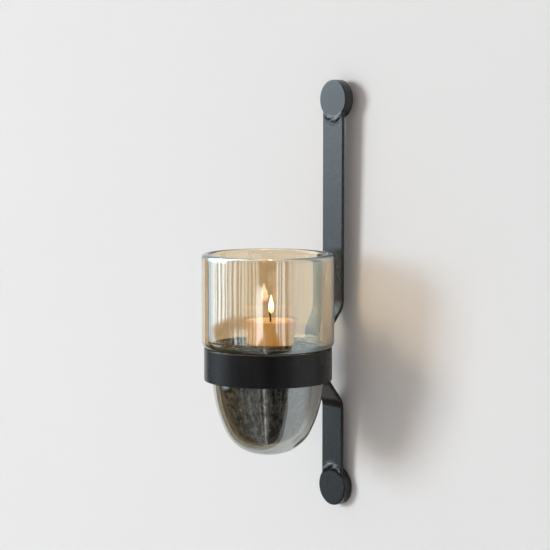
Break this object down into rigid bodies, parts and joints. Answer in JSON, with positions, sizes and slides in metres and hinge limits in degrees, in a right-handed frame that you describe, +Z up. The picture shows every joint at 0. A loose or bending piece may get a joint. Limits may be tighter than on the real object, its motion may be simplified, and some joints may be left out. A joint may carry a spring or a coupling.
{
  "type": "wall sconce candle holder",
  "caption": "Wall sconce for a tealight: flat steel strap on round stand-off bosses, with a ring that holds a thick lustre glass cup part filled with gravel.",
  "frame": {"origin": "centre of the upper boss's back face, where it meets the wall and where its keyhole's round hole is", "axes": "+Z up along the strap, +Y into the wall, +X to the right as seen from the room"},
  "size_m": [0.0936, 0.1146, 0.31],
  "materials": {
    "black_steel": "satin black powder coat",
    "lustre_glass": "amber lustre, polished",
    "dark_gravel": "rough",
    "clear_plastic": "clear",
    "wax": "paraffin wax",
    "tin": "bright",
    "wick_cotton": "charred"
  },
  "bodies": {
    "bracket": {"back_bar": "black_steel", "upper_boss": "black_steel", "lower_boss": "black_steel", "upper_keyhole_plate": "black_steel", "lower_keyhole_plate": "black_steel", "upper_neck_weld": "black_steel", "lower_neck_weld": "black_steel", "upper_back_weld": "black_steel", "lower_back_weld": "black_steel", "holder_ring": "black_steel", "ring_seam_weld": "black_steel", "ring_saddle": "black_steel", "ring_weld_left": "black_steel", "ring_weld_right": "black_steel"},
    "glass": {"glass_cup": "lustre_glass", "gravel_fill": "dark_gravel"},
    "candle": {"tealight_cup": "clear_plastic", "tealight_wax": "wax", "wick_sustainer": "tin", "wick": "wick_cotton"}
  },
  "joints": [
    {"name": "glass_lift", "type": "slide", "parent": "bracket", "child": "glass", "axis": [0, 0, 1], "range_m": [0, 0.085]},
    {"name": "candle_lift", "type": "slide", "parent": "glass", "child": "candle", "axis": [0, 0, 1], "range_m": [0, 0.07]}
  ]
}
